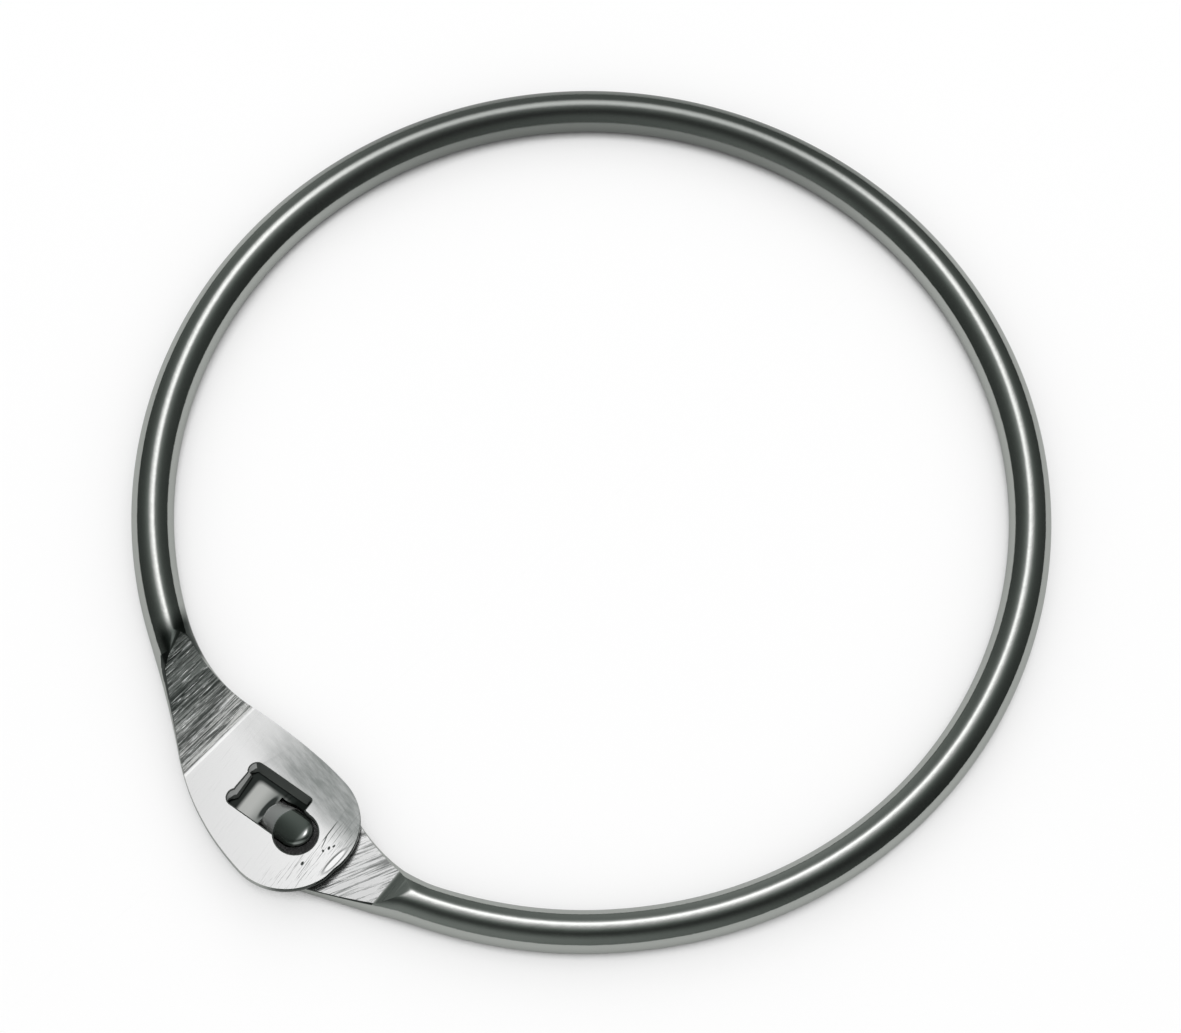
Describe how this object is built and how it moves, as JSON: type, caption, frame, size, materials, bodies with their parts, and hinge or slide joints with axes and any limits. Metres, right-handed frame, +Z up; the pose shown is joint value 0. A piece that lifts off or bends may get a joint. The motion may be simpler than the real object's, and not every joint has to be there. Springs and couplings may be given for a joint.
{
  "type": "interlocking key ring",
  "caption": "Large round steel wire key ring whose flattened overlapping ends lock together by a slot and a pressed-up hook.",
  "frame": {"origin": "centre of the ring, on the plane the ring lies on", "axes": "+Z up, square to the ring's plane, with the slotted paddle uppermost; the clasp lies 225.4 degrees anticlockwise from +X"},
  "size_m": [0.076, 0.0761, 0.0035],
  "materials": {
    "steel": "polished"
  },
  "bodies": {
    "root": {"key_ring": "steel"}
  },
  "joints": []
}
